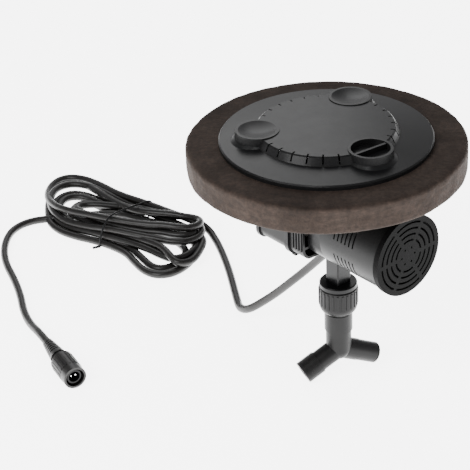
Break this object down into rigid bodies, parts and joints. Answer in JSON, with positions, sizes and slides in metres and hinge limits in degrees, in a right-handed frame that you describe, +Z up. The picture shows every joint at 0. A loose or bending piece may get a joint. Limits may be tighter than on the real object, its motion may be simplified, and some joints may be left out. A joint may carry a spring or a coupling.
{
  "type": "floating pond aerator",
  "caption": "Floating pond aerator: foam ring with a slotted cover, a submersible pump slung below, a branching outlet and a tied supply cable ending in a screw-collar plug.",
  "frame": {"origin": "centre of the float's underside, at the waterline, on the float's axis", "axes": "+Z up through the cover; +X to the right and +Y away from the side where the pump's grille and the connector point"},
  "size_m": [0.5632, 0.6315, 0.3198],
  "materials": {
    "foam": "matt closed-cell foam",
    "cover_black": "satin moulded plastic",
    "pump_grey": "satin moulded plastic",
    "pump_black": "satin moulded plastic",
    "cable_rubber": "satin sheath",
    "seal_rubber": "matt",
    "steel": "satin",
    "magnet": "satin ferrite",
    "laminations": "satin",
    "copper": "enamelled wire",
    "pin_metal": "plated",
    "sponge": "open-cell foam"
  },
  "bodies": {
    "float": {"foam_ring": "foam", "cover": "cover_black", "base_plate": "pump_black", "cover_screws": "steel", "hanger": "pump_black", "hanger_screws": "steel", "pump_strap": "pump_black", "motor_housing": "pump_grey", "motor_end_cap": "pump_black", "rotor_can": "pump_black", "stator_core": "laminations", "near_coil": "copper", "far_coil": "copper", "pump_shaft": "steel", "rear_bush": "seal_rubber", "front_bush": "seal_rubber", "pump_chamber": "pump_black", "chamber_seal": "seal_rubber", "chamber_bolts": "steel", "outlet_neck": "pump_grey", "union_spigot": "pump_black", "union_seal": "seal_rubber", "gland_nut": "pump_black", "gland_boot": "cable_rubber", "cable_lead": "cable_rubber", "cable_hank": "cable_rubber", "cable_tail": "cable_rubber", "twist_tie": "cover_black", "connector_boot": "cable_rubber", "connector_body": "pump_black", "contact_pins": "pin_metal", "connector_seal": "seal_rubber"},
    "rotor": {"impeller": "pump_grey", "rotor_magnet": "magnet"},
    "twist_plug": {"twist_plug": "cover_black", "plug_seal": "seal_rubber", "plug_clip": "pump_black"},
    "union_nut": {"union_nut": "pump_grey"},
    "outlet_fork": {"outlet_fork": "pump_grey", "swivel_tail": "pump_grey"},
    "filter_cage": {"filter_cage": "pump_grey", "filter_sponge": "sponge"},
    "grille_cap": {"grille_cap": "pump_grey"},
    "collar_nut": {"collar_nut": "cable_rubber"}
  },
  "joints": [
    {"name": "rotor_spin", "type": "hinge", "parent": "float", "child": "rotor", "pos_m": [0.012, 0, -0.069], "axis": [0.6293, -0.7771, 0], "continuous": true},
    {"name": "plug_turn", "type": "hinge", "parent": "float", "child": "twist_plug", "pos_m": [0.04135, -0.06016, 0.04], "axis": [0, 0, 1], "range_deg": [0, 90]},
    {"name": "nut_turn", "type": "hinge", "parent": "float", "child": "union_nut", "pos_m": [0.012, 0, -0.165], "axis": [0, 0, 1], "range_deg": [0, 360]},
    {"name": "fork_swivel", "type": "hinge", "parent": "float", "child": "outlet_fork", "pos_m": [0.012, 0, -0.2], "axis": [0, 0, 1], "range_deg": [-180, 180]},
    {"name": "cage_slide", "type": "slide", "parent": "float", "child": "filter_cage", "axis": [0.6293, -0.7771, 0], "range_m": [0, 0.07]},
    {"name": "cap_turn", "type": "hinge", "parent": "filter_cage", "child": "grille_cap", "pos_m": [0.012, 0, -0.069], "axis": [0.6293, -0.7771, 0], "range_deg": [0, 30]},
    {"name": "collar_spin", "type": "hinge", "parent": "float", "child": "collar_nut", "pos_m": [-0.33, 0.0631, -0.2565], "axis": [0.4524, -0.8918, 0], "continuous": true}
  ]
}
